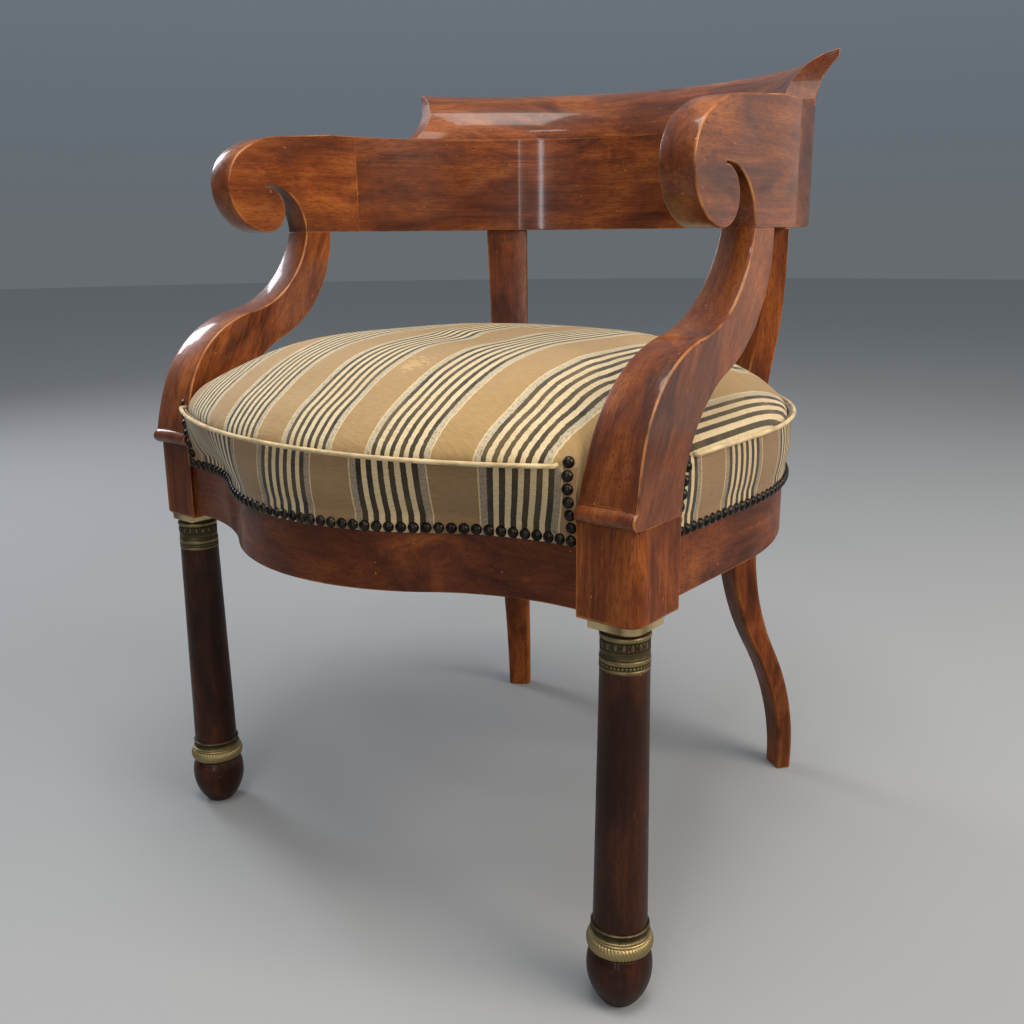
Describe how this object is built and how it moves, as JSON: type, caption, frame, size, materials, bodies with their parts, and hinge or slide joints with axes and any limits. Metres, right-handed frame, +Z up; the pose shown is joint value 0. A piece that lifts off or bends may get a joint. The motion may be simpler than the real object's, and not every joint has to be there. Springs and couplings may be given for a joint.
{
  "type": "tub chair",
  "caption": "Mahogany desk armchair with a half-round back rail and crest, scrolled arms, turned front legs with bronze mounts, sabre back legs and a domed striped seat",
  "frame": {"origin": "On the floor under the centre of the half-round back, which is also the middle of the overall box", "axes": "+Z is up, the chair faces -Y, and +X is the sitter's left"},
  "size_m": [0.622, 0.636, 0.812],
  "materials": {
    "mahogany": "french polished, worn at the edges",
    "dark_mahogany": "polished, darkened with age",
    "beech": "raw, inside the joints",
    "gilt_bronze": "worn gilding, dull",
    "antique_nail": "dark, domed",
    "striped_cloth": "woven, straw and black stripes",
    "cream_cord": "covered cord",
    "jute": "coarse weave",
    "horsehair": "curled hair, stitched"
  },
  "bodies": {
    "root": {"abacus_left": "gilt_bronze", "abacus_right": "gilt_bronze", "arm_dowels": "beech", "arm_left": "mahogany", "arm_right": "mahogany", "arm_support_left": "mahogany", "arm_support_right": "mahogany", "back_rail": "mahogany", "base_collar_left": "gilt_bronze", "base_collar_right": "gilt_bronze", "capital_left": "gilt_bronze", "capital_right": "gilt_bronze", "column_left": "dark_mahogany", "column_right": "dark_mahogany", "corner_block_left": "mahogany", "corner_block_right": "mahogany", "crest_dowels": "beech", "crest_rail": "mahogany", "front_seat_rail": "mahogany", "hessian": "jute", "piping": "cream_cord", "post_nails": "antique_nail", "rail_nails": "antique_nail", "rear_post_left": "mahogany", "rear_post_right": "mahogany", "rear_seat_rail": "mahogany", "seat_border": "striped_cloth", "seat_cover": "striped_cloth", "side_seat_rail_left": "mahogany", "side_seat_rail_right": "mahogany", "stuffing": "horsehair", "toe_left": "dark_mahogany", "toe_right": "dark_mahogany", "webbing_crosswise": "jute", "webbing_lengthwise": "jute"}
  },
  "joints": []
}
